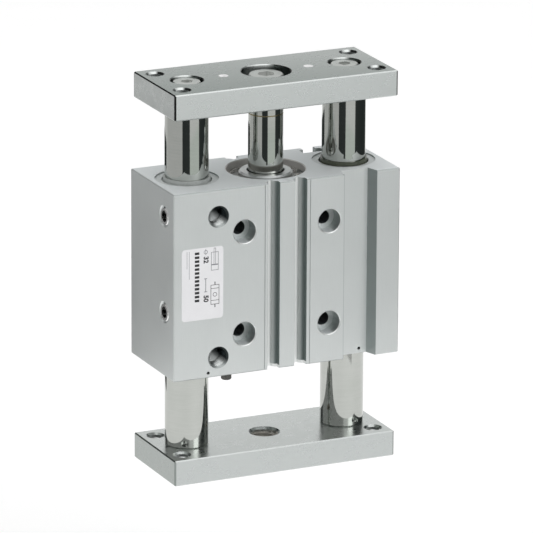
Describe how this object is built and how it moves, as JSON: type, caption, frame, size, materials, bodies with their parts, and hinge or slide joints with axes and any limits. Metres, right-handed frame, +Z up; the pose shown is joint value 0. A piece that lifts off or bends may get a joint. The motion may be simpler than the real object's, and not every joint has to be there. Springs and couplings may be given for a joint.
{
  "type": "guided pneumatic cylinder",
  "caption": "Compact guided air cylinder: a grooved block holds a piston rod between guide rods that join a top and a bottom plate.",
  "frame": {"origin": "centre of the bottom plate's underside, on which the part stands", "axes": "+Z up along the rods, out of the block towards the top plate; X along the row of rods; -Y out of the face with the air ports"},
  "size_m": [0.112, 0.048, 0.183],
  "materials": {
    "block_aluminium": "extruded and machined aluminium with a satin clear anodised skin",
    "cover_aluminium": "turned aluminium",
    "plate_steel": "ground steel with a thin plated skin",
    "rod_chrome": "hard chrome plated and polished",
    "ring_steel": "spring steel, phosphated",
    "screw_steel": "bright plated steel",
    "plug_steel": "bright plated steel",
    "bush_bronze": "sintered bronze",
    "seal_rubber": "moulded nitrile rubber",
    "wiper_rubber": "moulded polyurethane rubber, dark olive",
    "magnet_rubber": "moulded magnet rubber",
    "wear_plastic": "cut resin strip"
  },
  "bodies": {
    "housing": {"cylinder_body": "block_aluminium", "rod_cover": "cover_aluminium", "rod_cover_o_ring": "seal_rubber", "rod_cover_retaining_ring": "ring_steel", "rod_bush": "bush_bronze", "rod_seal": "seal_rubber", "rod_side_bumper": "seal_rubber", "head_cover": "cover_aluminium", "head_cover_o_ring": "seal_rubber", "head_cover_retaining_ring": "ring_steel", "head_side_bumper": "seal_rubber", "side_port_plugs": "plug_steel", "air_passage_plug": "ring_steel", "left_upper_guide_bush": "bush_bronze", "left_upper_guide_wiper": "wiper_rubber", "left_upper_wiper_ring": "ring_steel", "left_lower_guide_bush": "bush_bronze", "left_lower_guide_wiper": "wiper_rubber", "left_lower_wiper_ring": "ring_steel", "right_upper_guide_bush": "bush_bronze", "right_upper_guide_wiper": "wiper_rubber", "right_upper_wiper_ring": "ring_steel", "right_lower_guide_bush": "bush_bronze", "right_lower_guide_wiper": "wiper_rubber", "right_lower_wiper_ring": "ring_steel"},
    "carriage": {"top_plate": "plate_steel", "bottom_plate": "plate_steel", "left_guide_rod": "rod_chrome", "right_guide_rod": "rod_chrome", "piston_rod": "rod_chrome", "piston": "cover_aluminium", "piston_magnet": "magnet_rubber", "piston_seal": "seal_rubber", "piston_wear_ring": "wear_plastic", "piston_screw": "screw_steel", "top_plate_screws": "screw_steel", "piston_rod_screw": "screw_steel", "bottom_plate_screws": "screw_steel"}
  },
  "joints": [
    {"name": "slide", "type": "slide", "parent": "housing", "child": "carriage", "axis": [0, 0, 1], "range_m": [-0.0235, 0.0265]}
  ]
}
